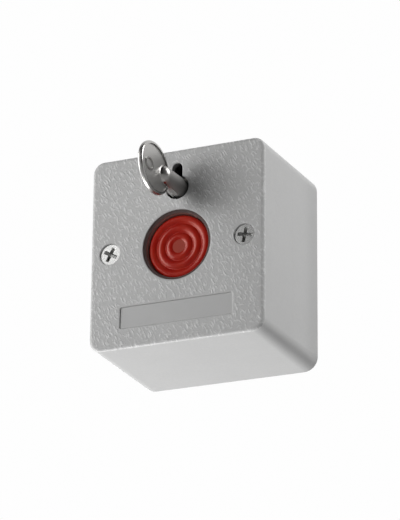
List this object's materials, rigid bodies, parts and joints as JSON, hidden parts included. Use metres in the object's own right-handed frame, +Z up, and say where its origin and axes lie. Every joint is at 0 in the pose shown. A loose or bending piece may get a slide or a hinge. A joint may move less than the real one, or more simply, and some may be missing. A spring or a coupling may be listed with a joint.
{
  "type": "wireless panic button",
  "caption": "Wall-mounted keyed panic button: deep grained plastic cover, recessed red button with ring ripples, reset key in a notched keyhole, transmitter and cell inside.",
  "frame": {"origin": "middle of the wall-side face of the base plate", "axes": "+Z up on the wall, +X to the right as seen from the front, +Y into the wall; the face looks along -Y"},
  "size_m": [0.07, 0.0794, 0.075],
  "materials": {
    "case_grey": "moulded, leather grain on the face, fine spark grain on the sides",
    "screw_zinc": "bright zinc plating",
    "collar_dark": "satin",
    "button_red": "satin gloss",
    "key_nickel": "polished nickel",
    "spring_steel": "drawn wire",
    "inner_dark": "moulded",
    "lock_black": "moulded, greased",
    "cam_white": "moulded",
    "board_green": "solder mask",
    "switch_black": "moulded",
    "plunger_red": "moulded",
    "contact_tin": "tinned sheet",
    "cell_can": "sleeved can",
    "module_blue": "solder mask",
    "antenna_copper": "bare copper wire",
    "crystal_steel": "pressed can",
    "capacitor_can": "pressed can",
    "chip_beige": "ceramic"
  },
  "bodies": {
    "housing": {"front_cover": "case_grey", "base_plate": "case_grey", "cover_screw_left": "screw_zinc", "cover_screw_right": "screw_zinc", "button_ring": "collar_dark", "button_spring": "spring_steel", "mechanism_plate": "inner_dark", "plate_screws": "screw_zinc", "latch_wire": "spring_steel", "circuit_board": "board_green", "board_screws": "screw_zinc", "switch_body": "switch_black", "lever_pin": "spring_steel", "switch_terminals": "contact_tin", "battery_holder": "inner_dark", "battery_cell": "cell_can", "battery_contact_positive": "contact_tin", "battery_contact_negative": "contact_tin", "radio_module": "module_blue", "radio_shield": "contact_tin", "antenna_coil": "antenna_copper", "controller_chip": "switch_black", "timing_crystal": "crystal_steel", "buffer_capacitor": "capacitor_can", "chip_parts": "chip_beige"},
    "button": {"button_cap": "button_red"},
    "lock": {"key": "key_nickel", "lock_rotor": "lock_black", "release_cam": "cam_white", "cam_screw": "screw_zinc"},
    "lever": {"switch_lever": "spring_steel"},
    "plunger": {"switch_plunger": "plunger_red"}
  },
  "joints": [
    {"name": "button_press", "type": "slide", "parent": "housing", "child": "button", "axis": [0, 1, 0], "range_m": [0, 0.0035], "stiffness_N_per_m": 600, "springref_m": -0.003, "deforming": ["button_spring", "latch_wire"]},
    {"name": "key_turn", "type": "hinge", "parent": "housing", "child": "lock", "pos_m": [0, -0.048, 0.022], "axis": [0, 1, 0], "range_deg": [0, 90], "deforming": ["latch_wire"]},
    {"name": "switch_lever_swing", "type": "hinge", "parent": "housing", "child": "lever", "pos_m": [-0.013, -0.019, 0], "axis": [0, 0, 1], "range_deg": [0, 18]},
    {"name": "switch_plunger_press", "type": "slide", "parent": "housing", "child": "plunger", "axis": [0, 1, 0], "range_m": [0, 0.0016]}
  ],
  "couplings": [
    {"joint": "switch_lever_swing", "follows": "button_press", "rad_per_m": 76.923},
    {"joint": "switch_plunger_press", "follows": "button_press", "ratio": 0.38461}
  ]
}
